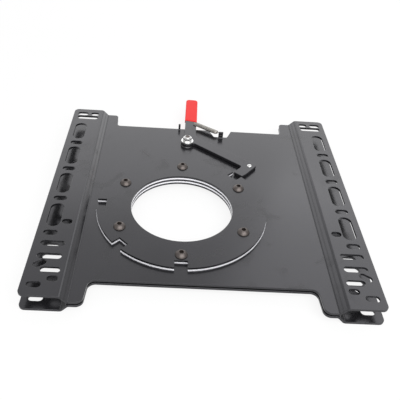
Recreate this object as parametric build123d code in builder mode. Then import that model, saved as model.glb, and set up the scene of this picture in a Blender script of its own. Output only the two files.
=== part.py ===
"""Swivel seat base: two joggled steel plates that turn on a slip-ring bearing and lock with a sprung lever.

The origin is on the swivel axis, level with the underside of the lower plate's flat middle.
X points to the right, Y to the back (where the handle is) and Z up, in millimetres.
The lever is drawn released, with its tooth just outside the lock disc.
"""

import os
from math import asin, atan2, cos, degrees, hypot, radians, sin

from build123d import *

# Driving dimensions: the two pressed plates
SHEET_T = 3.5
PLATE_W = 456.0
PLATE_L = 447.0
JOGGLE_RISE = 9.5
JOGGLE_RUN = 9.0
WING_W = 50.5
BEND_R = 5.0
AXIS_TO_MIDDLE_X = 30.0
AXIS_TO_MIDDLE_Y = 38.5
WING_CORNER_R = 8.0
EAR_W = 21.0
EAR_TAPER = 2.5
FRONT_NOTCH_DEPTH = 38.0
REAR_NOTCH_DEPTH = 35.0
LOWER_REAR_SETBACK = 20.0
LOWER_SIDE_REACH = 1.6
FRONT_NOTCH_R = 10.0
REAR_NOTCH_R = 5.5

# Driving dimensions: the bearing and the lock disc
BORE_D = 150.0
LOCK_DISC_D = 250.0
LOCK_DISC_T = 3.5
SLIP_RING_T = 2.5
SLIP_EDGE_SETBACK = 0.3
HUB_RIM = 35.0
LOCK_NOTCH_W = 18.0
LOCK_NOTCH_DEPTH = 13.5
LOCK_ANGLES = (45, 180, 225, 270)

# Driving dimensions: fasteners
DISC_SCREW_D = 10.0
DISC_SCREW_COUNT = 6
PIVOT_D = 8.0

# Driving dimensions: the lever
LEVER_T = 5.0
LEVER_BAR_W = 20.0
LEVER_REACH = 120.0
HANDLE_L = 147.0
HANDLE_ANGLE = 126.5
HANDLE_OFFSET = 4.5
GRIP_L = 79.0
GRIP_WALL = 1.0
ARM_BACK = 10.0
PIVOT_SETBACK = 4.0

# Driving dimensions: the return spring
SPRING_D = 6.0
SPRING_WIRE_D = 1.2

# Clearances
BEARING_PLAY = 0.1
AXIAL_PLAY = 0.05
BOLT_CLEARANCE = 0.5
THREAD_CLEARANCE = 0.05
PIVOT_PLAY = 0.05
TOOTH_SIDE_PLAY = 0.3
TOOTH_TIP_PLAY = 0.9
RELEASE_PLAY = 0.6
HOOK_PLAY = 0.4

# Heights, from the underside of the lower plate's flat middle
LOWER_FLAT_Z = 0.0
LOWER_SLIP_Z = LOWER_FLAT_Z + SHEET_T
HUB_Z = LOWER_SLIP_Z + SLIP_RING_T
HUB_T = SHEET_T + 2 * AXIAL_PLAY
UPPER_FLAT_Z = HUB_Z + AXIAL_PLAY
UPPER_TOP_Z = UPPER_FLAT_Z + SHEET_T
UPPER_SLIP_Z = HUB_Z + HUB_T
LOCK_DISC_Z = UPPER_SLIP_Z + SLIP_RING_T
LOCK_DISC_TOP_Z = LOCK_DISC_Z + LOCK_DISC_T
LEVER_Z = LOCK_DISC_TOP_Z - LEVER_T

# Plan of the plates, seen from above
REAR_Y = PLATE_L / 2 + AXIS_TO_MIDDLE_Y
FRONT_Y = REAR_Y - PLATE_L
REAR_EDGE_Y = REAR_Y - REAR_NOTCH_DEPTH
FLAT_HALF_W = PLATE_W / 2 - WING_W - JOGGLE_RUN
NOTCH_W = 2 * (FLAT_HALF_W - EAR_W)
BLANK_HEIGHT = 4 * (JOGGLE_RISE + SHEET_T)

# Plan of the bearing
BORE_R = BORE_D / 2
LOCK_DISC_R = LOCK_DISC_D / 2
SLIP_R = LOCK_DISC_R - SLIP_EDGE_SETBACK
HUB_R = BORE_R + HUB_RIM
SCREW_CIRCLE_R = BORE_R + 0.74 * HUB_RIM
NOTCH_ROOT_R = LOCK_DISC_R - LOCK_NOTCH_DEPTH

# Plan of the lever: the lock line runs from the swivel axis through the tooth, and the arm lies square to it
LOCK_ANGLE = LOCK_ANGLES[0]
PIVOT_OUT = LOCK_DISC_R + ARM_BACK - PIVOT_SETBACK
PIVOT_X = PIVOT_OUT * cos(radians(LOCK_ANGLE)) - LEVER_REACH * sin(radians(LOCK_ANGLE))
PIVOT_Y = PIVOT_OUT * sin(radians(LOCK_ANGLE)) + LEVER_REACH * cos(radians(LOCK_ANGLE))
TOOTH_W = LOCK_NOTCH_W - 2 * TOOTH_SIDE_PLAY
TOOTH_TIP = NOTCH_ROOT_R + TOOTH_TIP_PLAY - PIVOT_OUT
TOOTH_NEAR = LEVER_REACH - TOOTH_W / 2
RELEASED_TIP = LOCK_DISC_R + RELEASE_PLAY - PIVOT_OUT
RELEASE_ANGLE = degrees(
    asin(RELEASED_TIP / hypot(TOOTH_NEAR, TOOTH_TIP)) - atan2(TOOTH_TIP, TOOTH_NEAR)
)
LEVER_TURN = LOCK_ANGLE - 90 + RELEASE_ANGLE

# Slots of a wing: columns are measured from the wing's outer edge, rows from the plate's ends
SLOT_W = 10.0
SLOT_PITCH = PLATE_L / 6
WINDOW_L = 0.66 * SLOT_PITCH
WINDOW_W = 0.38 * WING_W
WINDOW_ROW_Y = 0.51 * SLOT_PITCH
RAIL_ROWS_Y = [WINDOW_ROW_Y + row * SLOT_PITCH for row in (-2, -1, 0, 1)]
OUTER_COLUMN_X = PLATE_W / 2 - 0.38 * WING_W
EDGE_COLUMN_X = PLATE_W / 2 - 0.33 * WING_W
MIDDLE_COLUMN_X = PLATE_W / 2 - 0.52 * WING_W
INNER_COLUMN_X = PLATE_W / 2 - 0.75 * WING_W
LONG_SLOT_L = 0.64 * WING_W
REAR_SLOT_L = 0.71 * WING_W
SHORT_SLOT_L = 0.36 * WING_W
OVAL_L = 0.28 * WING_W
ANGLED_SLOT_TURN = -35
REAR_ROW_Y = PLATE_L / 2 - 0.375 * SLOT_PITCH
LAST_ROW_Y = PLATE_L / 2 - 0.21 * SLOT_PITCH
FRONT_ROWS_Y = [-PLATE_L / 2 + share * SLOT_PITCH for share in (1.231, 0.913)]
WINDOW_OVAL_Y = -PLATE_L / 2 + 1.829 * SLOT_PITCH
FRONT_OVAL_Y = -PLATE_L / 2 + 0.385 * SLOT_PITCH
MIXED_ROW_Y = -PLATE_L / 2 + 0.584 * SLOT_PITCH
ANGLED_ROW_Y = -PLATE_L / 2 + 0.724 * SLOT_PITCH
FIRST_ROW_Y = -PLATE_L / 2 + 0.241 * SLOT_PITCH
BOX_ROW_Y = -PLATE_L / 2 + 1.497 * SLOT_PITCH

# Tabs bent up at the back of the upper plate, placed from the lever pivot
TAB_BEND_R = 4.0
TAB_ROOT_L = 3 * SHEET_T
STOP_TAB_W = SHEET_T
STOP_TAB_H = 11.0
STOP_TAB_LEFT = 14.0
STOP_TAB_X = PIVOT_X - STOP_TAB_LEFT
SPRING_TAB_W = 8.0
SPRING_TAB_H = 12.0
SPRING_TAB_RIGHT = 59.5
SPRING_TAB_X = PIVOT_X + SPRING_TAB_RIGHT
RECESS_DEPTH = 20.5
RECESS_ROOT_W = 23.0
RECESS_MOUTH_W = 40.0
RECESS_R = 3.0
RECESS_Y = REAR_EDGE_Y - RECESS_DEPTH

# Fastener proportions
BUTTON_HEAD_D = 1.75 * DISC_SCREW_D
BUTTON_HEAD_H = 0.55 * DISC_SCREW_D
BUTTON_LAND_H = 0.08 * DISC_SCREW_D
SOCKET_AF = 0.6 * DISC_SCREW_D
SOCKET_DEPTH = 0.33 * DISC_SCREW_D
CROWN_FLAT_R = 0.7 * SOCKET_AF
CROWN_R = 0.62 * BUTTON_HEAD_D
SCREW_CHAMFER = 0.1 * DISC_SCREW_D
DISC_NUT_AF = 1.6 * DISC_SCREW_D
DISC_NUT_T = 0.5 * DISC_SCREW_D
CLAMPED_T = LOCK_DISC_TOP_Z - LOWER_FLAT_Z
SCREW_SHANK_L = CLAMPED_T + DISC_NUT_T + SCREW_CHAMFER
SCREW_ANGLES = [30 + turn * 360 / DISC_SCREW_COUNT for turn in range(DISC_SCREW_COUNT)]
BUSH_D = 1.5 * PIVOT_D
WASHER_D = 2.6 * PIVOT_D
WASHER_T = 0.25 * PIVOT_D
STUD_HEAD_D = 1.8 * PIVOT_D
LOCK_NUT_AF = 1.625 * PIVOT_D
LOCK_NUT_HEX_H = 0.75 * PIVOT_D
LOCK_NUT_H = PIVOT_D
LOCK_NUT_COLLAR_D = 1.4 * PIVOT_D
LOCK_NUT_CROWN_R = 0.75 * (LOCK_NUT_H - LOCK_NUT_HEX_H)
RIVET_D = 0.6 * PIVOT_D
RIVET_HEAD_D = 0.96 * PIVOT_D
RIVET_HEAD_H = 0.25 * PIVOT_D
RIVET_DOME_R = (RIVET_HEAD_D**2 / 4 + RIVET_HEAD_H**2) / (2 * RIVET_HEAD_H)
BUSH_TOP_Z = LOCK_DISC_TOP_Z + 2 * AXIAL_PLAY
NUT_Z = BUSH_TOP_Z + WASHER_T

# Lever proportions
BOSS_RIM = 0.5
BOSS_R = WASHER_D / 2 + BOSS_RIM
ARM_L = TOOTH_NEAR + TOOTH_W
TOOTH_ROOT = PIVOT_SETBACK + LEVER_BAR_W / 2
TOOTH_RELIEF = 1.5
TOOTH_RELIEF_L = 9.5
ELBOW_R = 12.0
INNER_R = 4.0
BAR_END_R = 5.0
GRIP_START = HANDLE_L - GRIP_L
GRIP_SLANT = 2.0
GRIP_W = LEVER_BAR_W + 2 * GRIP_WALL
GRIP_EDGE_R = 1.8 * GRIP_WALL
HANDLE_TURN = LEVER_TURN + HANDLE_ANGLE - 90
STUD_CHAMFER = 0.125 * PIVOT_D
STUD_L = NUT_Z + LOCK_NUT_H - STUD_CHAMFER / 2 - UPPER_FLAT_Z
HOOK_L = 7.0
COIL_PITCH = 1.2 * SPRING_WIRE_D
COIL_GROOVE = 0.4 * SPRING_WIRE_D
HOOK_TAIL = 3 * SPRING_WIRE_D
SPRING_EYE_EDGE = 4.0
SPRING_EYE_SETBACK = 6.0
SPRING_EYE_X = HANDLE_OFFSET + LEVER_BAR_W / 2 - SPRING_EYE_EDGE
SPRING_EYE_Y = GRIP_START - SPRING_EYE_SETBACK
SPRING_EYE_D = SPRING_WIRE_D + 2 * HOOK_PLAY
SPRING_Z = LOCK_DISC_TOP_Z + SPRING_WIRE_D / 2 + AXIAL_PLAY


def turned_plane(height, turn):
    """Plane level with the ground over the lever pivot, its X axis turned by the given angle."""
    return Plane(
        origin=(PIVOT_X, PIVOT_Y, height),
        x_dir=(cos(radians(turn)), sin(radians(turn)), 0),
        z_dir=(0, 0, 1),
    )


def save(piece, name):
    """Label a finished piece and write its STEP file."""
    piece.part.label = name
    export_step(piece.part, f"parts/{name}.step")


def plate_blank(side_reach, rear_setback):
    """Flat outline of a plate: a rounded rectangle with a wide notch at the back and one at the front."""
    with BuildSketch(Plane((AXIS_TO_MIDDLE_X, AXIS_TO_MIDDLE_Y, 0))) as blank:
        Rectangle(PLATE_W + 2 * side_reach, PLATE_L)
        fillet(blank.vertices(), WING_CORNER_R)
        for side, depth, radius in (
            (1, REAR_NOTCH_DEPTH + rear_setback, REAR_NOTCH_R),
            (-1, FRONT_NOTCH_DEPTH, FRONT_NOTCH_R),
        ):
            mouth_y = side * PLATE_L / 2
            root_y = side * (PLATE_L / 2 - depth)
            with BuildLine():
                Polyline(
                    (-NOTCH_W / 2 - EAR_TAPER, mouth_y),
                    (-NOTCH_W / 2, root_y),
                    (NOTCH_W / 2, root_y),
                    (NOTCH_W / 2 + EAR_TAPER, mouth_y),
                    close=True,
                )
            make_face(mode=Mode.SUBTRACT)
            corners = blank.vertices().filter_by_position(
                Axis.X, -FLAT_HALF_W, FLAT_HALF_W
            )
            low, high = sorted((mouth_y, root_y))
            fillet(corners.filter_by_position(Axis.Y, low, high), radius)
    return blank.sketch


def joggled_section(flat_z, rise):
    """Cross-section of a plate, seen along Y: the wings step up or down from the flat middle."""
    middle_z = flat_z + SHEET_T / 2
    overrun = SHEET_T
    back_face = Plane((AXIS_TO_MIDDLE_X, REAR_Y, 0), x_dir=(1, 0, 0), z_dir=(0, -1, 0))
    with BuildSketch(back_face) as section:
        with BuildLine():
            FilletPolyline(
                (-PLATE_W / 2 - overrun, middle_z + rise),
                (-FLAT_HALF_W - JOGGLE_RUN, middle_z + rise),
                (-FLAT_HALF_W, middle_z),
                (FLAT_HALF_W, middle_z),
                (FLAT_HALF_W + JOGGLE_RUN, middle_z + rise),
                (PLATE_W / 2 + overrun, middle_z + rise),
                radius=BEND_R,
            )
            offset(amount=SHEET_T / 2, side=Side.BOTH)
        make_face()
    return section.sketch


def tab_section(x, edge_y, height):
    """Section of a tab bent up at the upper plate's edge, seen along X."""
    middle_z = UPPER_FLAT_Z + SHEET_T / 2
    leg_y = edge_y - SHEET_T / 2
    with BuildSketch(Plane.YZ.offset(x)) as section:
        with BuildLine():
            FilletPolyline(
                (leg_y - TAB_ROOT_L, middle_z),
                (leg_y, middle_z),
                (leg_y, UPPER_TOP_Z + height - SHEET_T / 2),
                radius=TAB_BEND_R,
            )
            offset(amount=SHEET_T / 2, side=Side.BOTH)
        make_face()
    return section.sketch


def washer(height, inner_d, outer_d, thickness):
    """Flat ring around the lever pivot."""
    with BuildPart() as ring:
        with BuildSketch(turned_plane(height, 0)):
            Circle(outer_d / 2)
            Circle(inner_d / 2, mode=Mode.SUBTRACT)
        extrude(amount=thickness)
    return ring


os.makedirs("parts", exist_ok=True)

wing_middle = Plane((AXIS_TO_MIDDLE_X, AXIS_TO_MIDDLE_Y, 0))

# Front slots of the wings, which line up in both plates
with BuildSketch(wing_middle) as front_slots:
    with Locations(*[(MIDDLE_COLUMN_X, row_y) for row_y in FRONT_ROWS_Y]):
        SlotOverall(LONG_SLOT_L, SLOT_W)
    with Locations((EDGE_COLUMN_X, FIRST_ROW_Y)):
        SlotOverall(SHORT_SLOT_L, SLOT_W)
    with Locations((EDGE_COLUMN_X, ANGLED_ROW_Y)):
        SlotOverall(SHORT_SLOT_L, SLOT_W, rotation=ANGLED_SLOT_TURN)
    with Locations(((INNER_COLUMN_X + MIDDLE_COLUMN_X) / 2, MIXED_ROW_Y)):
        SlotOverall((LONG_SLOT_L + SHORT_SLOT_L) / 2, SLOT_W)
    with Locations((INNER_COLUMN_X, FRONT_OVAL_Y)):
        SlotOverall(OVAL_L, SLOT_W)
    mirror(about=Plane.YZ)

# Seat slots: the long windows, the rail slots between them and the rear slots of the upper wings
with BuildSketch(wing_middle) as seat_slots:
    with Locations((OUTER_COLUMN_X, WINDOW_ROW_Y)):
        with GridLocations(0, SLOT_PITCH, 1, 4):
            SlotOverall(WINDOW_L, WINDOW_W, rotation=90)
    with Locations(*[(OUTER_COLUMN_X, row_y) for row_y in RAIL_ROWS_Y]):
        SlotOverall(WINDOW_W, SLOT_W)
    with Locations((MIDDLE_COLUMN_X, REAR_ROW_Y)):
        SlotOverall(REAR_SLOT_L, SLOT_W)
    with Locations((EDGE_COLUMN_X, LAST_ROW_Y)):
        SlotOverall(SHORT_SLOT_L, SLOT_W)
    with Locations((INNER_COLUMN_X, LAST_ROW_Y), (INNER_COLUMN_X, WINDOW_OVAL_Y)):
        SlotOverall(OVAL_L, SLOT_W)
    mirror(about=Plane.YZ)

# Box slots of the lower wings: one before the middle, and one at the back under the upper wing's solid strip
with BuildSketch(wing_middle) as box_slots:
    with Locations((OUTER_COLUMN_X, BOX_ROW_Y)):
        SlotOverall(WINDOW_W, SLOT_W)
    with Locations((INNER_COLUMN_X, -FRONT_ROWS_Y[1])):
        SlotOverall(OVAL_L, SLOT_W)
    mirror(about=Plane.YZ)

# Upper plate: wings stepped up, hole running on the hub, tabs for the stop and the spring
with BuildPart() as upper_plate:
    extrude(joggled_section(UPPER_FLAT_Z, JOGGLE_RISE), amount=PLATE_L)
    extrude(plate_blank(0, 0), amount=BLANK_HEIGHT, both=True, mode=Mode.INTERSECT)
    extrude(front_slots.sketch, amount=BLANK_HEIGHT, both=True, mode=Mode.SUBTRACT)
    extrude(seat_slots.sketch, amount=BLANK_HEIGHT, both=True, mode=Mode.SUBTRACT)
    with BuildSketch(Plane.XY.offset(UPPER_FLAT_Z)) as hub_hole:
        Circle(HUB_R + BEARING_PLAY)
    extrude(amount=SHEET_T, mode=Mode.SUBTRACT)
    with BuildSketch(Plane((SPRING_TAB_X, 0, UPPER_FLAT_Z))) as spring_recess:
        with BuildLine():
            Polyline(
                (-RECESS_MOUTH_W / 2, REAR_EDGE_Y),
                (-RECESS_ROOT_W / 2, RECESS_Y),
                (RECESS_ROOT_W / 2, RECESS_Y),
                (RECESS_MOUTH_W / 2, REAR_EDGE_Y),
                close=True,
            )
        make_face()
        fillet(spring_recess.vertices().group_by(Axis.Y)[0], RECESS_R)
    extrude(amount=SHEET_T, mode=Mode.SUBTRACT)
    extrude(tab_section(STOP_TAB_X, REAR_EDGE_Y, STOP_TAB_H), amount=STOP_TAB_W / 2, both=True)
    extrude(tab_section(SPRING_TAB_X, RECESS_Y, SPRING_TAB_H), amount=SPRING_TAB_W / 2, both=True)
    with Locations(Location((SPRING_TAB_X, RECESS_Y, SPRING_Z), (90, 0, 0))):
        Hole(SPRING_EYE_D / 2, depth=SHEET_T)
    with Locations(Location((PIVOT_X, PIVOT_Y, UPPER_FLAT_Z), (180, 0, 0))):
        CounterSinkHole(PIVOT_D / 2 + THREAD_CLEARANCE, STUD_HEAD_D / 2 + THREAD_CLEARANCE, SHEET_T, 90)
save(upper_plate, "upper_plate")

# Lower plate: wings stepped down to the seat box, bolted under the bearing
with BuildPart() as lower_plate:
    extrude(joggled_section(LOWER_FLAT_Z, -JOGGLE_RISE), amount=PLATE_L)
    extrude(plate_blank(LOWER_SIDE_REACH, LOWER_REAR_SETBACK), amount=BLANK_HEIGHT, both=True, mode=Mode.INTERSECT)
    extrude(front_slots.sketch, amount=BLANK_HEIGHT, both=True, mode=Mode.SUBTRACT)
    extrude(box_slots.sketch, amount=BLANK_HEIGHT, both=True, mode=Mode.SUBTRACT)
    with BuildSketch(Plane.XY.offset(LOWER_FLAT_Z)) as lower_holes:
        Circle(BORE_R)
        with PolarLocations(SCREW_CIRCLE_R, DISC_SCREW_COUNT, start_angle=SCREW_ANGLES[0]):
            Circle(DISC_SCREW_D / 2 + BOLT_CLEARANCE)
    extrude(amount=SHEET_T, mode=Mode.SUBTRACT)
save(lower_plate, "lower_plate")


def bearing_ring(height, thickness, outer_r, notches):
    """Ring of the bearing stack: centre bore, screw holes and, where asked for, the lock notches."""
    with BuildPart() as ring:
        with BuildSketch(Plane.XY.offset(height)):
            Circle(outer_r)
            Circle(BORE_R, mode=Mode.SUBTRACT)
            with PolarLocations(SCREW_CIRCLE_R, DISC_SCREW_COUNT, start_angle=SCREW_ANGLES[0]):
                Circle(DISC_SCREW_D / 2 + BOLT_CLEARANCE, mode=Mode.SUBTRACT)
            for angle in notches:
                with PolarLocations(NOTCH_ROOT_R, 1, start_angle=angle):
                    Rectangle(
                        2 * LOCK_NOTCH_DEPTH,
                        LOCK_NOTCH_W,
                        align=(Align.MIN, Align.CENTER),
                        mode=Mode.SUBTRACT,
                    )
        extrude(amount=thickness)
    return ring


# Bearing stack, from below: slip ring, hub, slip ring, lock disc
save(bearing_ring(LOWER_SLIP_Z, SLIP_RING_T, SLIP_R, ()), "lower_slip_ring")
save(bearing_ring(HUB_Z, HUB_T, HUB_R, ()), "hub_ring")
save(bearing_ring(UPPER_SLIP_Z, SLIP_RING_T, SLIP_R, LOCK_ANGLES), "upper_slip_ring")
save(bearing_ring(LOCK_DISC_Z, LOCK_DISC_T, LOCK_DISC_R, LOCK_ANGLES), "lock_disc")

# Button-head screw, drawn with the underside of its head at the origin
with BuildPart() as button_screw:
    with BuildSketch(Plane.XZ):
        with BuildLine():
            head_edge = Polyline(
                (0, -SCREW_SHANK_L),
                (DISC_SCREW_D / 2 - SCREW_CHAMFER, -SCREW_SHANK_L),
                (DISC_SCREW_D / 2, SCREW_CHAMFER - SCREW_SHANK_L),
                (DISC_SCREW_D / 2, 0),
                (BUTTON_HEAD_D / 2, 0),
                (BUTTON_HEAD_D / 2, BUTTON_LAND_H),
            )
            crown = RadiusArc(head_edge @ 1, (CROWN_FLAT_R, BUTTON_HEAD_H), -CROWN_R)
            Polyline(crown @ 1, (0, BUTTON_HEAD_H), (0, -SCREW_SHANK_L))
        make_face()
    revolve(axis=Axis.Z)
    with BuildSketch(Plane.XY.offset(BUTTON_HEAD_H)):
        RegularPolygon(SOCKET_AF / 2, 6, major_radius=False)
    extrude(amount=-SOCKET_DEPTH, mode=Mode.SUBTRACT)

# Thin nut, drawn with its upper face at the origin
with BuildPart() as thin_nut:
    with BuildSketch():
        RegularPolygon(DISC_NUT_AF / 2, 6, major_radius=False)
        Circle(DISC_SCREW_D / 2 + THREAD_CLEARANCE, mode=Mode.SUBTRACT)
    extrude(amount=-DISC_NUT_T)

for number, angle in enumerate(SCREW_ANGLES, start=1):
    screw_x = SCREW_CIRCLE_R * cos(radians(angle))
    screw_y = SCREW_CIRCLE_R * sin(radians(angle))
    with BuildPart() as disc_screw:
        with Locations((screw_x, screw_y, LOCK_DISC_TOP_Z)):
            add(button_screw.part)
    save(disc_screw, f"disc_screw_{number}")
    with BuildPart() as disc_nut:
        with Locations((screw_x, screw_y, LOWER_FLAT_Z)):
            add(thin_nut.part)
    save(disc_nut, f"disc_nut_{number}")

# Lever: boss, handle and arm in one plate, with the lock tooth at the arm's end
with BuildPart() as lever:
    with BuildSketch(turned_plane(LEVER_Z, LEVER_TURN)) as lever_outline:
        Circle(BOSS_R)
        with Locations((0, PIVOT_SETBACK)):
            Rectangle(ARM_L, LEVER_BAR_W, align=(Align.MIN, Align.MIN))
        with Locations(Location((0, 0), HANDLE_ANGLE - 90)):
            with Locations((HANDLE_OFFSET, 0)):
                Rectangle(LEVER_BAR_W, HANDLE_L, align=(Align.CENTER, Align.MIN))
        with BuildLine():
            Polyline(
                (TOOTH_NEAR, TOOTH_ROOT),
                (TOOTH_NEAR, TOOTH_TIP),
                (ARM_L - TOOTH_RELIEF, TOOTH_TIP),
                (ARM_L, TOOTH_TIP + TOOTH_RELIEF_L),
                (ARM_L, TOOTH_ROOT),
                close=True,
            )
        make_face()
        fillet(lever_outline.vertices().sort_by(Axis.Y)[-2:], BAR_END_R)
        fillet(lever_outline.vertices().group_by(Axis.X)[-1].sort_by(Axis.Y)[-1], BAR_END_R)
        for place, radius in (
            ((0, PIVOT_SETBACK + LEVER_BAR_W), ELBOW_R),
            ((BOSS_R, PIVOT_SETBACK), INNER_R),
            ((-BOSS_R, BOSS_R / 2), ELBOW_R),
            ((TOOTH_NEAR, PIVOT_SETBACK), INNER_R),
        ):
            fillet(lever_outline.vertices().sort_by_distance(place)[0], radius)
        Circle(BUSH_D / 2 + PIVOT_PLAY, mode=Mode.SUBTRACT)
        with Locations((LEVER_REACH, TOOTH_ROOT)):
            Circle(RIVET_D / 2 + THREAD_CLEARANCE, mode=Mode.SUBTRACT)
        with Locations(Location((0, 0), HANDLE_ANGLE - 90)):
            with Locations((SPRING_EYE_X, SPRING_EYE_Y)):
                Circle(SPRING_EYE_D / 2, mode=Mode.SUBTRACT)
    extrude(amount=LEVER_T)
save(lever, "lever")

# Dipped grip over the end of the handle
with BuildPart() as lever_grip:
    with BuildSketch(turned_plane(LEVER_Z - GRIP_WALL, HANDLE_TURN)) as grip_outline:
        with BuildLine():
            Polyline(
                (HANDLE_OFFSET - GRIP_W / 2, GRIP_START + GRIP_SLANT),
                (HANDLE_OFFSET + GRIP_W / 2, GRIP_START - GRIP_SLANT),
                (HANDLE_OFFSET + GRIP_W / 2, HANDLE_L + GRIP_WALL),
                (HANDLE_OFFSET - GRIP_W / 2, HANDLE_L + GRIP_WALL),
                close=True,
            )
        make_face()
        fillet(grip_outline.vertices().group_by(Axis.Y)[-1], BAR_END_R + GRIP_WALL)
    extrude(amount=LEVER_T + 2 * GRIP_WALL)
    flat_faces = lever_grip.faces().filter_by(Axis.Z)
    fillet(flat_faces.edges(), GRIP_EDGE_R)
    add(lever.part, mode=Mode.SUBTRACT)
save(lever_grip, "lever_grip")

# Rivet over the tooth
with BuildPart() as lever_rivet:
    with BuildSketch(Plane.XZ) as rivet_half:
        with BuildLine():
            rivet_side = Polyline(
                (0, -LEVER_T),
                (RIVET_D / 2, -LEVER_T),
                (RIVET_D / 2, 0),
                (RIVET_HEAD_D / 2, 0),
            )
            rivet_dome = RadiusArc(rivet_side @ 1, (0, RIVET_HEAD_H), -RIVET_DOME_R)
            Line(rivet_dome @ 1, rivet_side @ 0)
        make_face()
    revolve(axis=Axis.Z)
    rivet_place = turned_plane(LOCK_DISC_TOP_Z, LEVER_TURN).from_local_coords((LEVER_REACH, TOOTH_ROOT, 0))
lever_rivet.part.position = rivet_place
save(lever_rivet, "lever_rivet")

# Pivot: countersunk stud, bush, washers and lock nut
with BuildPart() as pivot_stud:
    with BuildSketch(Plane((PIVOT_X, PIVOT_Y, UPPER_FLAT_Z), x_dir=(1, 0, 0), z_dir=(0, -1, 0))):
        with BuildLine():
            Polyline(
                (0, 0),
                (STUD_HEAD_D / 2, 0),
                (PIVOT_D / 2, (STUD_HEAD_D - PIVOT_D) / 2),
                (PIVOT_D / 2, STUD_L - STUD_CHAMFER),
                (PIVOT_D / 2 - STUD_CHAMFER, STUD_L),
                (0, STUD_L),
                close=True,
            )
        make_face()
    revolve(axis=Axis((PIVOT_X, PIVOT_Y, 0), (0, 0, 1)))
save(pivot_stud, "pivot_stud")

stud_hole_d = PIVOT_D + 2 * THREAD_CLEARANCE
save(washer(UPPER_TOP_Z, stud_hole_d, BUSH_D, BUSH_TOP_Z - UPPER_TOP_Z), "pivot_bush")
save(
    washer(UPPER_TOP_Z, BUSH_D + 2 * PIVOT_PLAY, WASHER_D, LEVER_Z - UPPER_TOP_Z - AXIAL_PLAY),
    "lever_washer",
)
save(washer(BUSH_TOP_Z, stud_hole_d, WASHER_D, WASHER_T), "pivot_washer")

with BuildPart() as pivot_nut:
    with BuildSketch(turned_plane(NUT_Z, 0)):
        RegularPolygon(LOCK_NUT_AF / 2, 6, major_radius=False)
    extrude(amount=LOCK_NUT_HEX_H)
    with BuildSketch(turned_plane(NUT_Z, 0)):
        Circle(LOCK_NUT_COLLAR_D / 2)
    extrude(amount=LOCK_NUT_H)
    fillet(pivot_nut.faces().sort_by(Axis.Z)[-1].edges(), LOCK_NUT_CROWN_R)
    with BuildSketch(turned_plane(NUT_Z, 0)):
        Circle(stud_hole_d / 2)
    extrude(amount=LOCK_NUT_H, mode=Mode.SUBTRACT)
save(pivot_nut, "pivot_nut")

# Return spring: close coils between the lever's eye and the upper plate's tab, with a bent hook at each end
lever_eye = turned_plane(SPRING_Z, HANDLE_TURN).from_local_coords((SPRING_EYE_X, SPRING_EYE_Y, 0))
tab_eye = Vector(SPRING_TAB_X, RECESS_Y + SPRING_WIRE_D, SPRING_Z)
spring_span = (tab_eye - lever_eye).length
spring_plane = Plane(lever_eye, x_dir=tab_eye - lever_eye, z_dir=(0, 0, 1))
coil_count = int((spring_span - 2 * HOOK_L) / COIL_PITCH)
coil_start = (spring_span - coil_count * COIL_PITCH) / 2
coil_end = coil_start + coil_count * COIL_PITCH
coil_r = (SPRING_D - SPRING_WIRE_D) / 2
groove_r = SPRING_D / 2 - COIL_GROOVE
with BuildPart() as return_spring:
    with BuildSketch(spring_plane):
        with BuildLine():
            crests = [(coil_start + (coil + 0.5) * COIL_PITCH, SPRING_D / 2) for coil in range(coil_count)]
            grooves = [(coil_start + (coil + 1) * COIL_PITCH, groove_r) for coil in range(coil_count)]
            windings = [point for pair in zip(crests, grooves) for point in pair]
            Polyline(
                (coil_start, SPRING_D / 2 - SPRING_WIRE_D),
                (coil_start, groove_r),
                *windings,
                (coil_end, SPRING_D / 2 - SPRING_WIRE_D),
                close=True,
            )
        make_face()
    revolve(axis=Axis(lever_eye, tab_eye - lever_eye))
    with BuildLine() as lever_hook:
        FilletPolyline(
            spring_plane.from_local_coords((coil_start + SPRING_WIRE_D / 2, 0, coil_r)),
            spring_plane.from_local_coords((coil_start - SPRING_WIRE_D, 0, coil_r)),
            spring_plane.from_local_coords((coil_start - HOOK_L / 2, 0, 0)),
            lever_eye,
            lever_eye - Vector(0, 0, LEVER_T),
            radius=SPRING_WIRE_D,
        )
    with BuildSketch(Plane(lever_hook.line @ 0, z_dir=lever_hook.line % 0)):
        Circle(SPRING_WIRE_D / 2)
    sweep(path=lever_hook.line)
    with BuildLine() as tab_hook:
        FilletPolyline(
            spring_plane.from_local_coords((coil_end - SPRING_WIRE_D / 2, 0, coil_r)),
            spring_plane.from_local_coords((coil_end + SPRING_WIRE_D, 0, coil_r)),
            spring_plane.from_local_coords((coil_end + HOOK_L / 2, 0, 0)),
            tab_eye,
            tab_eye - Vector(0, SHEET_T + HOOK_TAIL, 0),
            radius=SPRING_WIRE_D,
        )
    with BuildSketch(Plane(tab_hook.line @ 0, z_dir=tab_hook.line % 0)):
        Circle(SPRING_WIRE_D / 2)
    sweep(path=tab_hook.line)
save(return_spring, "return_spring")
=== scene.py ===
# %% [markdown]
# # Swivel seat base
# A swivel sits between a camper seat and its seat box. Two black steel plates with stepped wings turn on a
# flat bearing with an open middle, and a sprung lever with a red grip drops its tooth into a notched disc.
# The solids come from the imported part. Here they get rounded edges, a real coiled spring and their finishes.

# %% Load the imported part
import math

import bmesh
import bpy
from mathutils import Matrix, Vector


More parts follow.
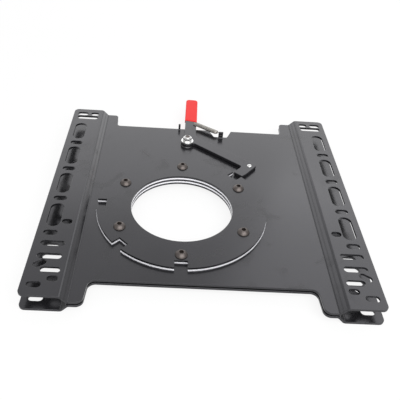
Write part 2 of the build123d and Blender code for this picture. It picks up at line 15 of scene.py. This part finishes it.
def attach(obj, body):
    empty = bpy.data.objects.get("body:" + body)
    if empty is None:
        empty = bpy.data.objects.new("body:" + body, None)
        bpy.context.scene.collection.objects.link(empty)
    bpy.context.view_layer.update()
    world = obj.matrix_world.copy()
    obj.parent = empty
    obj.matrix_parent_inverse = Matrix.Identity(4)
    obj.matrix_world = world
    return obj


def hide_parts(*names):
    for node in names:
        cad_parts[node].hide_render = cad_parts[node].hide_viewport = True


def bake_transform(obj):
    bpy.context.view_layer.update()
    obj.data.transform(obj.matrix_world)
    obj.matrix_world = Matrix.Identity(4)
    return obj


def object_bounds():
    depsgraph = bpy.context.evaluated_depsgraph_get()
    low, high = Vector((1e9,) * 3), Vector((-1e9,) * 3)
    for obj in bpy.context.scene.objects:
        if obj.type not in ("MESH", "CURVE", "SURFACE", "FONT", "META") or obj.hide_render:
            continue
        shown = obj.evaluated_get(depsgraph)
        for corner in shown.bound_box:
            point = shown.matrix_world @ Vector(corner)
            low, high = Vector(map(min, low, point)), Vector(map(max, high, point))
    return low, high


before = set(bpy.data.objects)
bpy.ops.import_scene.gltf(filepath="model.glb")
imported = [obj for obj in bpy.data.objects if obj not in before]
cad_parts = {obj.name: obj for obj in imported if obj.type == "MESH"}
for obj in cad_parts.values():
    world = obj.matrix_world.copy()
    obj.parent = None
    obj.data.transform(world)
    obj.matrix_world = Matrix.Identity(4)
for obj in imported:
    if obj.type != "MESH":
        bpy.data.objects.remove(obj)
cad_low, cad_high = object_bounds()
MM = 0.001
print("CAD box in mm:", [round(value / MM, 1) for value in (*cad_low, *cad_high)])

# %% [markdown]
# ## Camera
# The photograph looks down on the base from the front, with the lens turned a little about its own axis.
# Euler angles could say the same. An eye, an aim and a roll are easier to read and to change.
# The picture was cropped round the base, so the lens also stands a little to one side of its middle.

# %% Camera
EYE = Vector((-24.5, -620.1, 529.0)) * MM
AIM = Vector((6.6, 24.32, 8.74)) * MM
ROLL = math.radians(4.613)
SENSOR_W = 36.0
LENS = 48.98
CROP_SHIFT = 0.0346

camera = bpy.data.objects.new("camera", bpy.data.cameras.new("camera"))
bpy.context.scene.collection.objects.link(camera)
camera.data.sensor_width = SENSOR_W
camera.data.lens = LENS
camera.data.shift_x = CROP_SHIFT
back = (EYE - AIM).normalized()
level_right = Vector((0, 0, 1)).cross(back).normalized()
level_up = back.cross(level_right)
right = math.cos(ROLL) * level_right + math.sin(ROLL) * level_up
up = back.cross(right)
turn = Matrix((right, up, back)).transposed().to_4x4()
camera.matrix_world = Matrix.Translation(EYE) @ turn
bpy.context.scene.camera = camera
print("camera looks down", round(math.degrees(math.asin(back.z)), 1), "degrees")

# %% [markdown]
# ## Finishes as expressions
# A finish could be built link by link, but it is easier to read as arithmetic. `Value` wraps one socket, so
# that `0.3 + 0.1 * grain` adds the Math nodes by itself.

# %% Values
class Value:
    """One value that runs through a finish's nodes."""

    def __init__(self, finish, socket):
        self.finish = finish
        self.socket = socket

    def maths(self, operation, first, second):
        return self.finish.node("Math", {"operation": operation}, {0: first, 1: second})

    def __add__(self, other):
        return self.maths("ADD", self, other)

    def __radd__(self, other):
        return self.maths("ADD", other, self)

    def __sub__(self, other):
        return self.maths("SUBTRACT", self, other)

    def __rsub__(self, other):
        return self.maths("SUBTRACT", other, self)

    def __mul__(self, other):
        return self.maths("MULTIPLY", self, other)

    def __rmul__(self, other):
        return self.maths("MULTIPLY", other, self)

    def __abs__(self):
        return self.maths("ABSOLUTE", self, 0.0)


print("values can be added, subtracted and multiplied")

# %% [markdown]
# Every other node comes from `Finish.node`, which takes the node's type, its settings and its inputs. The
# few nodes that these finishes use again and again have a short name of their own.

# %% Finishes
class Finish:
    """A node tree, and the plain way to add to it."""

    def __init__(self, tree):
        self.tree = tree

    def feed(self, socket, value):
        if isinstance(value, Value):
            self.tree.links.new(value.socket, socket)
        else:
            socket.default_value = value

    def node(self, kind, settings=None, inputs=None, output=0):
        made = self.tree.nodes.new("ShaderNode" + kind)
        for name, setting in (settings or {}).items():
            setattr(made, name, setting)
        for name, value in (inputs or {}).items():
            self.feed(made.inputs[name], value)
        return Value(self, made.outputs[output])

    def place(self):
        return self.node("TexCoord", output="Object")

    def noise(self, scale, detail=2.0, distortion=0.0):
        inputs = {"Vector": self.place(), "Scale": scale, "Detail": detail, "Distortion": distortion}
        return self.node("TexNoise", inputs=inputs)

    def rise(self, value, start, end):
        """0 below the start, 1 above the end, and a smooth step between them."""
        inputs = {"Value": value, "From Min": start, "From Max": end}
        return self.node("MapRange", {"interpolation_type": "SMOOTHSTEP"}, inputs)

    def mix(self, share, first, second):
        return self.node("Mix", {"data_type": "RGBA"}, {0: share, 6: first, 7: second}, 2)

    def bump(self, height, distance, strength):
        return self.node("Bump", inputs={"Height": height, "Distance": distance, "Strength": strength})


def painted(name, **plain):
    """A new material on the Principled shader, with its plain values set on the shader itself."""
    material = bpy.data.materials.new(name)
    material.use_nodes = True
    finish = Finish(material.node_tree)
    finish.material = material
    finish.shader = material.node_tree.nodes["Principled BSDF"].inputs
    for socket, value in plain.items():
        finish.feed(finish.shader[socket.replace("_", " ")], value)
    return finish


def rgb(red, green, blue):
    return (red, green, blue, 1.0)


print("finish tools ready")

# %% [markdown]
# ## Satin black powder coat
# The plates, the disc and the lever are powder coated. One flat dark grey would look like paper. The coat is
# nearly black by itself: what the eye sees on it is the studio, blurred by a satin skin with a fine orange
# peel. So the colour stays very dark and a little cool, and the roughness and a shallow bump carry the look.
# Hands have left faint, darker smudges.

# %% Powder coat
PLATE_BLACK = 0.014
DISC_BLACK = 0.013
COAT_ROUGHNESS = 0.21
COOL_GLOSS = rgb(0.945, 0.94, 1.0)
CLOUD_SCALE = 9.0
SMUDGE_SCALE = 26.0
PEEL_SCALE = 900.0
PEEL_DEPTH = 0.01 * MM


def powder_coat(name, black):
    """A satin coat of one black, with clouds, smudges and orange peel."""
    coat = painted(name, Specular_Tint=COOL_GLOSS)
    cloud = coat.noise(CLOUD_SCALE, detail=3.0)
    smudge = coat.rise(coat.noise(SMUDGE_SCALE, detail=4.0, distortion=0.6), start=0.54, end=0.72)
    peel = coat.noise(PEEL_SCALE, detail=1.5)
    dark = rgb(black * 0.5, black * 0.5, black * 0.55)
    pale = rgb(black * 1.25, black * 1.23, black * 1.4)
    coat.feed(coat.shader["Base Color"], coat.mix(cloud * (1.0 - smudge), dark, pale))
    coat.feed(coat.shader["Roughness"], COAT_ROUGHNESS - 0.06 + 0.12 * cloud + 0.1 * smudge)
    coat.feed(coat.shader["Normal"], coat.bump(peel, PEEL_DEPTH, strength=0.5))
    return coat


plate_coat = powder_coat("plate_coat", PLATE_BLACK)
disc_coat = powder_coat("disc_coat", DISC_BLACK)
lever_coat = powder_coat("lever_coat", PLATE_BLACK)
print("powder coats:", plate_coat.material.name, disc_coat.material.name, lever_coat.material.name)

# %% [markdown]
# The slopes of the wings' steps mirror a dark part of the studio in three stripes along each step: one at the
# foot, one in the middle of the slope and one under the upper bend. Those stripes are painted shade here. A
# second coat, darker and with a duller sheen, is mixed in along those lines, by their distance from the
# plates' middle.

# %% Painted shade stripes
# Painted shade on the slopes: each stripe's distance from the middle, and how far it dims the sheen.
SHADE_STRIPES = [
    (167.6 * MM, 0.45),
    (171.6 * MM, 0.28),
    (176.0 * MM, 0.36),
]
SHADE_STRIPE_W = 1.5 * MM
PAINTED_SHADE_VALUES = {"Base Color": rgb(0.008, 0.008, 0.009), "Roughness": 0.55, "Specular IOR Level": 0.2}

middle_x = (cad_low.x + cad_high.x) / 2
across = plate_coat.node("SeparateXYZ", inputs={"Vector": plate_coat.place()}, output="X")
reach = abs(across - middle_x)
stripe_shades = []
for line, shade_depth in SHADE_STRIPES:
    off_line = plate_coat.rise(abs(reach - line), start=0.0, end=SHADE_STRIPE_W)
    stripe_shades.append(shade_depth * (1.0 - off_line))
shade_share = sum(stripe_shades[1:], stripe_shades[0])
# A darker coat with a duller sheen, which paints the shade stripes.
painted_shade_coat = plate_coat.node("BsdfPrincipled", inputs=PAINTED_SHADE_VALUES)
clean_coat = Value(plate_coat, plate_coat.tree.nodes["Principled BSDF"].outputs[0])
coat_with_shade = plate_coat.node("MixShader", inputs={0: shade_share, 1: clean_coat, 2: painted_shade_coat})
plate_coat.feed(plate_coat.tree.nodes["Material Output"].inputs["Surface"], coat_with_shade)
print("painted shade stripes at", [round(line / MM, 1) for line, shade_depth in SHADE_STRIPES], "mm from the middle")

# %% [markdown]
# ## Slip rings, plated steel and the grip
# The slip rings are plain white plastic, a little cool, with a faint grain. The screws are dark plated
# steel with a warm cast, and so is the stud's end in the pivot nut. The pivot's nut and washers are bright
# zinc, clouded in patches. The spring is bare wire, and the grip is dipped: thick red plastic with a low
# sheen. One colour each would do from far away. A cloud between two near shades looks less printed.

# %% Plastic and plated finishes
PLASTIC_GRAIN = 0.01 * MM
DIP_WAVES = 0.1 * MM


def clouded(finish, scale, detail, dark, pale):
    """Clouds a finish's colour between two shades, and returns the cloud."""
    cloud = finish.noise(scale, detail)
    finish.feed(finish.shader["Base Color"], finish.mix(cloud, dark, pale))
    return cloud


slip = painted("slip_plastic", Roughness=0.42)
clouded(slip, 30.0, 2.0, dark=rgb(0.82, 0.82, 0.86), pale=rgb(0.88, 0.88, 0.92))
slip.feed(slip.shader["Normal"], slip.bump(slip.noise(500.0), PLASTIC_GRAIN, strength=0.3))

screw = painted("screw_plate", Metallic=1.0)
screw_cloud = clouded(screw, 180.0, 3.0, dark=rgb(0.068, 0.059, 0.055), pale=rgb(0.122, 0.107, 0.102))
screw.feed(screw.shader["Roughness"], 0.3 + 0.16 * screw_cloud)

zinc = painted("zinc_plate", Metallic=1.0)
zinc_cloud = clouded(zinc, 220.0, 3.0, dark=rgb(0.42, 0.42, 0.42), pale=rgb(0.76, 0.76, 0.75))
zinc.feed(zinc.shader["Roughness"], 0.16 + 0.2 * zinc_cloud)

wire = painted("spring_wire", Metallic=1.0)
wire_cloud = clouded(wire, 150.0, 2.0, dark=rgb(0.22, 0.21, 0.195), pale=rgb(0.34, 0.325, 0.305))
wire.feed(wire.shader["Roughness"], 0.2 + 0.12 * wire_cloud)

grip = painted("grip_dip", Specular_IOR_Level=0.12)
grip_cloud = clouded(grip, 22.0, 2.0, dark=rgb(0.69, 0.017, 0.0155), pale=rgb(0.755, 0.026, 0.0235))
grip.feed(grip.shader["Roughness"], 0.34 + 0.1 * grip_cloud)
grip.feed(grip.shader["Normal"], grip.bump(grip.noise(60.0, detail=1.0), DIP_WAVES, strength=0.3))
print("plastic and plated finishes:", [made.material.name for made in (slip, screw, zinc, wire, grip)])

# %% [markdown]
# ## Putting a finish on a node
# Screws, nuts, washers and the grip come from the solids in their right shape. They could be modelled again,
# but nothing would be gained, so each keeps its mesh and only gets the finish. This helper swaps it in.

# %% Finishes for the kept nodes
def coat_piece(piece, material):
    piece.data.materials.clear()
    piece.data.materials.append(material)


SCREWS = [f"disc_screw_{number}" for number in range(1, 7)]
NUTS = [f"disc_nut_{number}" for number in range(1, 7)]
KEPT = [
    (slip, ["lower_slip_ring"]),
    (screw, SCREWS + NUTS + ["pivot_stud"]),
    (zinc, ["pivot_nut", "pivot_washer", "lever_washer", "pivot_bush", "lever_rivet"]),
    (grip, ["lever_grip"]),
    (disc_coat, ["hub_ring"]),
]
for finish, nodes in KEPT:
    for node in nodes:
        coat_piece(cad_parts[node], finish.material)
print("finished", sum(len(nodes) for finish, nodes in KEPT), "kept nodes")

# %% [markdown]
# ## A copy to work on
# A solid's mesh arrives as loose triangles and is never changed. The sheets and one slip ring get a finer
# shape than their solids. They could be built anew, but a copy keeps every hole and slot in its place. Its
# triangles are first merged into one skin.

# %% Merged copies
MERGE_GAP = 0.002 * MM


def select_only(piece):
    bpy.ops.object.select_all(action="DESELECT")
    piece.select_set(True)
    bpy.context.view_layer.objects.active = piece


def merged_copy(node, name):
    """Copies a node's mesh to a new piece, merges it and leaves it in edit mode, all selected."""
    piece = bpy.data.objects.new(name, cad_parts[node].data.copy())
    bpy.context.scene.collection.objects.link(piece)
    select_only(piece)
    bpy.ops.mesh.customdata_custom_splitnormals_clear()
    bpy.ops.object.mode_set(mode="EDIT")
    bpy.ops.mesh.select_mode(type="VERT")
    bpy.ops.mesh.select_all(action="SELECT")
    bpy.ops.mesh.remove_doubles(threshold=MERGE_GAP)
    return piece


print("copies merge points nearer than", round(MERGE_GAP / MM, 3), "mm")

# %% [markdown]
# ## Rounded sheet edges
# Punched sheet never has a knife edge: the press and the coat leave a small round that catches the light.
# A bevel on every edge would also cut into the inner corners of the steps, so only the outer edges that are
# sharp get its full weight. First the flat triangles are joined, which leaves clean edges. The bevel marks
# the flats as the stronger faces, so the weighted normals keep them shading flat. The copy then stands for
# its node.

# %% Sheet pieces with rounded edges
FLAT_ANGLE = math.radians(0.05)
SHARP_ANGLE = math.radians(50)
SMOOTH_ANGLE = math.radians(35)
EDGE_SEGMENTS = 3


def rounded_copy(node, name, radius):
    """Copies a node's mesh, joins its flats and rounds its sharp outer edges."""
    piece = merged_copy(node, name)
    bpy.ops.mesh.dissolve_limited(angle_limit=FLAT_ANGLE)
    skin = bmesh.from_edit_mesh(piece.data)
    for edge in skin.edges:
        edge.select = edge.is_convex and edge.calc_face_angle(0) > SHARP_ANGLE
    bmesh.update_edit_mesh(piece.data)
    bpy.ops.transform.edge_bevelweight(value=1.0)
    bpy.ops.object.mode_set(mode="OBJECT")
    rounding = piece.modifiers.new("edge", "BEVEL")
    rounding.width = radius
    rounding.segments = EDGE_SEGMENTS
    rounding.limit_method = "WEIGHT"
    rounding.use_clamp_overlap = False
    rounding.loop_slide = False
    rounding.face_strength_mode = "FSTR_ALL"
    bpy.ops.object.modifier_apply(modifier=rounding.name)
    bpy.ops.object.shade_smooth_by_angle(angle=SMOOTH_ANGLE)
    flats = piece.modifiers.new("flats", "WEIGHTED_NORMAL")
    flats.weight = 100
    flats.use_face_influence = True
    bpy.ops.object.modifier_apply(modifier=flats.name)
    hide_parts(node)
    print(name, "has", len(piece.data.polygons), "faces")
    return piece


SHEETS = [
    ("upper_plate", "turntable", "black_paint", plate_coat, 0.4 * MM),
    ("lower_plate", "base", "black_paint", plate_coat, 0.6 * MM),
    ("lock_disc", "base", "disc_black", disc_coat, 0.25 * MM),
    ("lever", "lever", "lever_black", lever_coat, 0.6 * MM),
]
for node, body, slot, coat, edge_r in SHEETS:
    sheet = rounded_copy(node, node + "_coated", edge_r)
    coat_piece(sheet, coat.material)
    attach(sheet, body)

# %% [markdown]
# ## Upper slip ring
# The white line round the disc is the slip ring's rim, which stands a little proud of the steel. Its upper
# lip slopes down, so a dark slit shows between the two. A new ring could be cut from a disc, but it would
# need all the notches again. So a copy's outline has its upper points lowered, and its rim is scaled out
# from the swivel axis. It stops short of the released tooth.

# %% Slip ring with a proud rim
RIM_R = 125.35 * MM
INSIDE_RIM = 124.5 * MM
INSIDE_NOTCHES = 109.0 * MM
LIP_DROP = 0.6 * MM
TOP_SKIN = 0.1 * MM


def rim_radius(points):
    return max(point.co.xy.length for point in points)


def select_points(inside, lowest):
    """Selects the ring's points outside a radius and above a height."""
    skin = bmesh.from_edit_mesh(ring.data)
    for point in skin.verts:
        point.select = point.co.xy.length > inside and point.co.z > lowest
    skin.select_flush_mode()
    bmesh.update_edit_mesh(ring.data)


ring = merged_copy("upper_slip_ring", "upper_slip_ring_proud")
ring_points = bmesh.from_edit_mesh(ring.data).verts
ring_top = max(point.co.z for point in ring_points)
solid_rim_r = rim_radius(ring_points)
growth = RIM_R / solid_rim_r
select_points(INSIDE_NOTCHES, ring_top - TOP_SKIN)
bpy.ops.transform.translate(value=(0, 0, -LIP_DROP))
select_points(INSIDE_RIM, 0.0)
bpy.ops.transform.resize(value=(growth, growth, 1), center_override=(0, 0, 0))
bpy.ops.object.mode_set(mode="OBJECT")
bpy.ops.object.shade_smooth_by_angle(angle=SMOOTH_ANGLE)
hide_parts("upper_slip_ring")
coat_piece(ring, slip.material)
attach(ring, "base")
proud_rim_r = rim_radius(ring.data.vertices)
print("slip ring rim went from", round(solid_rim_r / MM, 2), "to", round(proud_rim_r / MM, 2), "mm")

# %% [markdown]
# ## Return spring
# A close-wound tension spring pulls the lever home, from an eye in the handle to the bent tab. The solid
# has ridged coils, and a bump could fake more. Here the wire itself is drawn, because its hooks and coils
# show against the white ground. A point is wound by a Screw modifier, the two ends are led out to the eyes,
# and the line then becomes a round wire.

# %% Wind the spring
LEVER_EYE = Vector((20.17, 239.13, 16.25)) * MM
TAB_EYE = Vector((67.28, 207.7, 16.25)) * MM
SPRING_D = 6.0 * MM
WIRE_D = 1.2 * MM
HOOK_L = 7.0 * MM
LEAST_PITCH = 1.06 * WIRE_D
STEPS_PER_TURN = 20

along = (TAB_EYE - LEVER_EYE).normalized()
coil_l = (TAB_EYE - LEVER_EYE).length - 2 * HOOK_L
coil_r = (SPRING_D - WIRE_D) / 2
turns = int(coil_l / LEAST_PITCH)
pitch = coil_l / turns

bpy.ops.object.select_all(action="DESELECT")
bpy.ops.mesh.primitive_plane_add(size=coil_r)
spring = bpy.context.object
spring.name = "return_spring_wire"
bpy.ops.object.mode_set(mode="EDIT")
bpy.ops.mesh.select_all(action="SELECT")
bpy.ops.mesh.merge(type="CENTER")
bpy.ops.mesh.select_all(action="SELECT")
bpy.ops.transform.translate(value=(coil_r, 0, 0))
bpy.ops.object.mode_set(mode="OBJECT")
winding = spring.modifiers.new("winding", "SCREW")
winding.axis = "Z"
winding.screw_offset = pitch
winding.iterations = turns
winding.steps = STEPS_PER_TURN
winding.render_steps = STEPS_PER_TURN
bpy.ops.object.modifier_apply(modifier=winding.name)
print("wound", turns, "turns at", round(pitch / MM, 2), "mm pitch")

# %% [markdown]
# The wound line stands on the origin, along Z. Its ends could be drawn later, where the spring lies at a
# slant. They are led to the axis and out to the eyes while the line still stands, because each step is then
# a plain length. The hook at the lever's end stays one wire shorter, to leave room for its bend.
# One fault is left here. The lower lead-out takes every point of the coils with it, and not the end alone,
# so short straight strands lie along the turns. To mend it, pick the low end alone, as at the top.

# %% Lead the ends out to the eyes
def pick(chosen):
    """Selects the given points of the line and no others."""
    picked = {point.index for point in chosen}
    for point in spring.data.vertices:
        point.select = point.index in picked


def extrude_through(steps):
    """Extrudes the picked points by a row of steps."""
    bpy.ops.object.mode_set(mode="EDIT")
    for step in steps:
        bpy.ops.mesh.extrude_vertices_move(TRANSFORM_OT_translate={"value": step})
    bpy.ops.object.mode_set(mode="OBJECT")


def lead_out(end, way, length):
    """Steps from one end of the line in to the axis and along it, up or down."""
    places = [
        end.co.copy(),
        Vector((0.6 * coil_r, 0, end.co.z + way * 0.9 * WIRE_D)),
        Vector((0, 0, end.co.z + way * 2 * WIRE_D)),
        Vector((0, 0, end.co.z + way * length)),
    ]
    return [there - here for here, there in zip(places, places[1:])]


def height(point):
    return point.co.z


select_only(spring)
low_end = min(spring.data.vertices, key=height)
pick(spring.data.vertices)
extrude_through(lead_out(low_end, -1, HOOK_L - WIRE_D))
high_end = max(spring.data.vertices, key=height)
pick([high_end])
extrude_through(lead_out(high_end, 1, HOOK_L))
print("line has", len(spring.data.vertices), "points")

# %% [markdown]
# The line is then laid between the eyes: its Z axis turns onto the spring's own direction, and the start
# moves to where the coils begin. The object could be turned instead, but a finished piece keeps its place in
# its mesh. The tails are extruded last, because they follow the part's axes: one goes down through the
# lever's eye and one forward through the tab's hole.

# %% Lay the spring between its eyes and bend the tails
LEVER_T = 5.0 * MM
SHEET_T = 3.5 * MM

side = Vector((0, 0, 1)).cross(along).normalized()
lay = Matrix((side, along.cross(side), along)).transposed().to_4x4()
spring.data.transform(Matrix.Translation(LEVER_EYE + along * HOOK_L) @ lay)


def bend_tail(eye, steps):
    """Extrudes a tail from the line's point that is nearest to an eye."""
    pick([min(spring.data.vertices, key=lambda point: (point.co - eye).length)])
    extrude_through(steps)


lever_bend = -along * 0.7 * WIRE_D - Vector((0, 0, 0.3 * WIRE_D))
tab_bend = Vector((0, -WIRE_D, -0.8 * WIRE_D))
bend_tail(LEVER_EYE, [lever_bend, Vector((0, 0, -LEVER_T))])
bend_tail(TAB_EYE, [Vector((0, -SHEET_T - WIRE_D, 0)), tab_bend])
print("line and tails have", len(spring.data.vertices), "points")

# %% [markdown]
# A line has no thickness yet. A Skin modifier could give it one, but a curve with a round bevel keeps the wire
# even.

# %% Give the wire its thickness
WIRE_ROUNDNESS = 3
WIRE_SMOOTH_ANGLE = math.radians(50)

bpy.ops.object.convert(target="CURVE")
spring.data.bevel_depth = WIRE_D / 2
spring.data.bevel_resolution = WIRE_ROUNDNESS
spring.data.use_fill_caps = True
bpy.ops.object.convert(target="MESH")
spring = bpy.context.object
spring.data.name = "return_spring_wire"
bpy.ops.object.shade_smooth_by_angle(angle=WIRE_SMOOTH_ANGLE)
coat_piece(spring, wire.material)
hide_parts("return_spring")
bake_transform(spring)
print("spring wire has", len(spring.data.polygons), "faces")

# %% [markdown]
# ## Floor
# The photograph has a plain white ground. A floor lit to white would need lamps that wash out the part. So
# the floor is a wide pale plane that keeps a soft shadow, and to the eye and to reflections it is mostly
# white.

# %% Floor
FLOOR_SIZE = 12.0
FLOOR_GAP = 0.05 * MM
WHITE = rgb(1, 1, 1)
WHITE_SHARE = 0.86


def seen_directly(finish):
    """1 for rays of the camera, of reflections and through clear pieces, and 0 for the light itself."""
    rays = ("Is Camera Ray", "Is Glossy Ray", "Is Transmission Ray")
    seen = [finish.node("LightPath", output=ray) for ray in rays]
    return sum(seen[1:], seen[0])


bpy.ops.object.select_all(action="DESELECT")
bpy.ops.mesh.primitive_plane_add(size=FLOOR_SIZE, location=(0, 0, cad_low.z - FLOOR_GAP))
floor = bpy.context.object
floor.name = "floor"
bpy.ops.object.transform_apply(location=True, rotation=True, scale=True)
ground = painted("ground", Base_Color=rgb(0.86, 0.86, 0.86), Roughness=0.9)
glow = ground.node("Emission", inputs={"Color": WHITE, "Strength": 1.0})
pale_ground = Value(ground, ground.tree.nodes["Principled BSDF"].outputs[0])
white_share = WHITE_SHARE * seen_directly(ground)
whitened = ground.node("MixShader", inputs={0: white_share, 1: pale_ground, 2: glow})
ground.feed(ground.tree.nodes["Material Output"].inputs["Surface"], whitened)
coat_piece(floor, ground.material)
print("floor", FLOOR_SIZE, "m wide")

# %% [markdown]
# ## Light
# Black paint shows its lamps, so their places draw the plates. One big lamp overhead would leave the plates
# flat. An even sky fills the shadows, and is white to the eye and to reflections. A broad key panel over
# the camera lights the front edges. A low wall of light behind lays the sheen on the plates, which fades
# towards the front. A dim panel above that wall softens its upper end, and one on the right lifts that
# side.

# %% Sky
FILL = 0.56

world = bpy.data.worlds.new("studio")
bpy.context.scene.world = world
world.use_nodes = True
world.node_tree.nodes.clear()
sky = Finish(world.node_tree)
fill_sky = sky.node("Background", inputs={"Color": WHITE, "Strength": FILL})
white_sky = sky.node("Background", inputs={"Color": WHITE, "Strength": 1.0})
whole_sky = sky.node("MixShader", inputs={0: seen_directly(sky), 1: fill_sky, 2: white_sky})
sky_out = world.node_tree.nodes.new("ShaderNodeOutputWorld")
sky.feed(sky_out.inputs["Surface"], whole_sky)
print("sky fills with", FILL, "of white")

# %% Lamps
def soft_panel(name, place, aim, width, height, watts):
    lamp = bpy.data.lights.new(name, "AREA")
    lamp.shape = "RECTANGLE"
    lamp.size = width
    lamp.size_y = height
    lamp.energy = watts
    holder = bpy.data.objects.new(name, lamp)
    bpy.context.scene.collection.objects.link(holder)
    holder.location = place
    holder.rotation_euler = (Vector(aim) - Vector(place)).to_track_quat("-Z", "Y").to_euler()
    holder.visible_camera = False


soft_panel("key_panel", (0.35, -1.2, 1.35), (0, 0, 0), width=2.4, height=1.6, watts=36)
soft_panel("back_panel", (-0.38, 1.8, 0.72), (-0.38, 0, 0.45), width=3.5, height=1.4, watts=16.2)
soft_panel("upper_panel", (-0.5, 1.55, 1.6), (-0.1, 0, 0), width=1.9, height=0.6, watts=1.1)
soft_panel("right_panel", (1.0, 1.3, 1.6), (0.1, 0, 0), width=1.3, height=0.9, watts=5.2)
bpy.context.scene.view_settings.view_transform = "Standard"
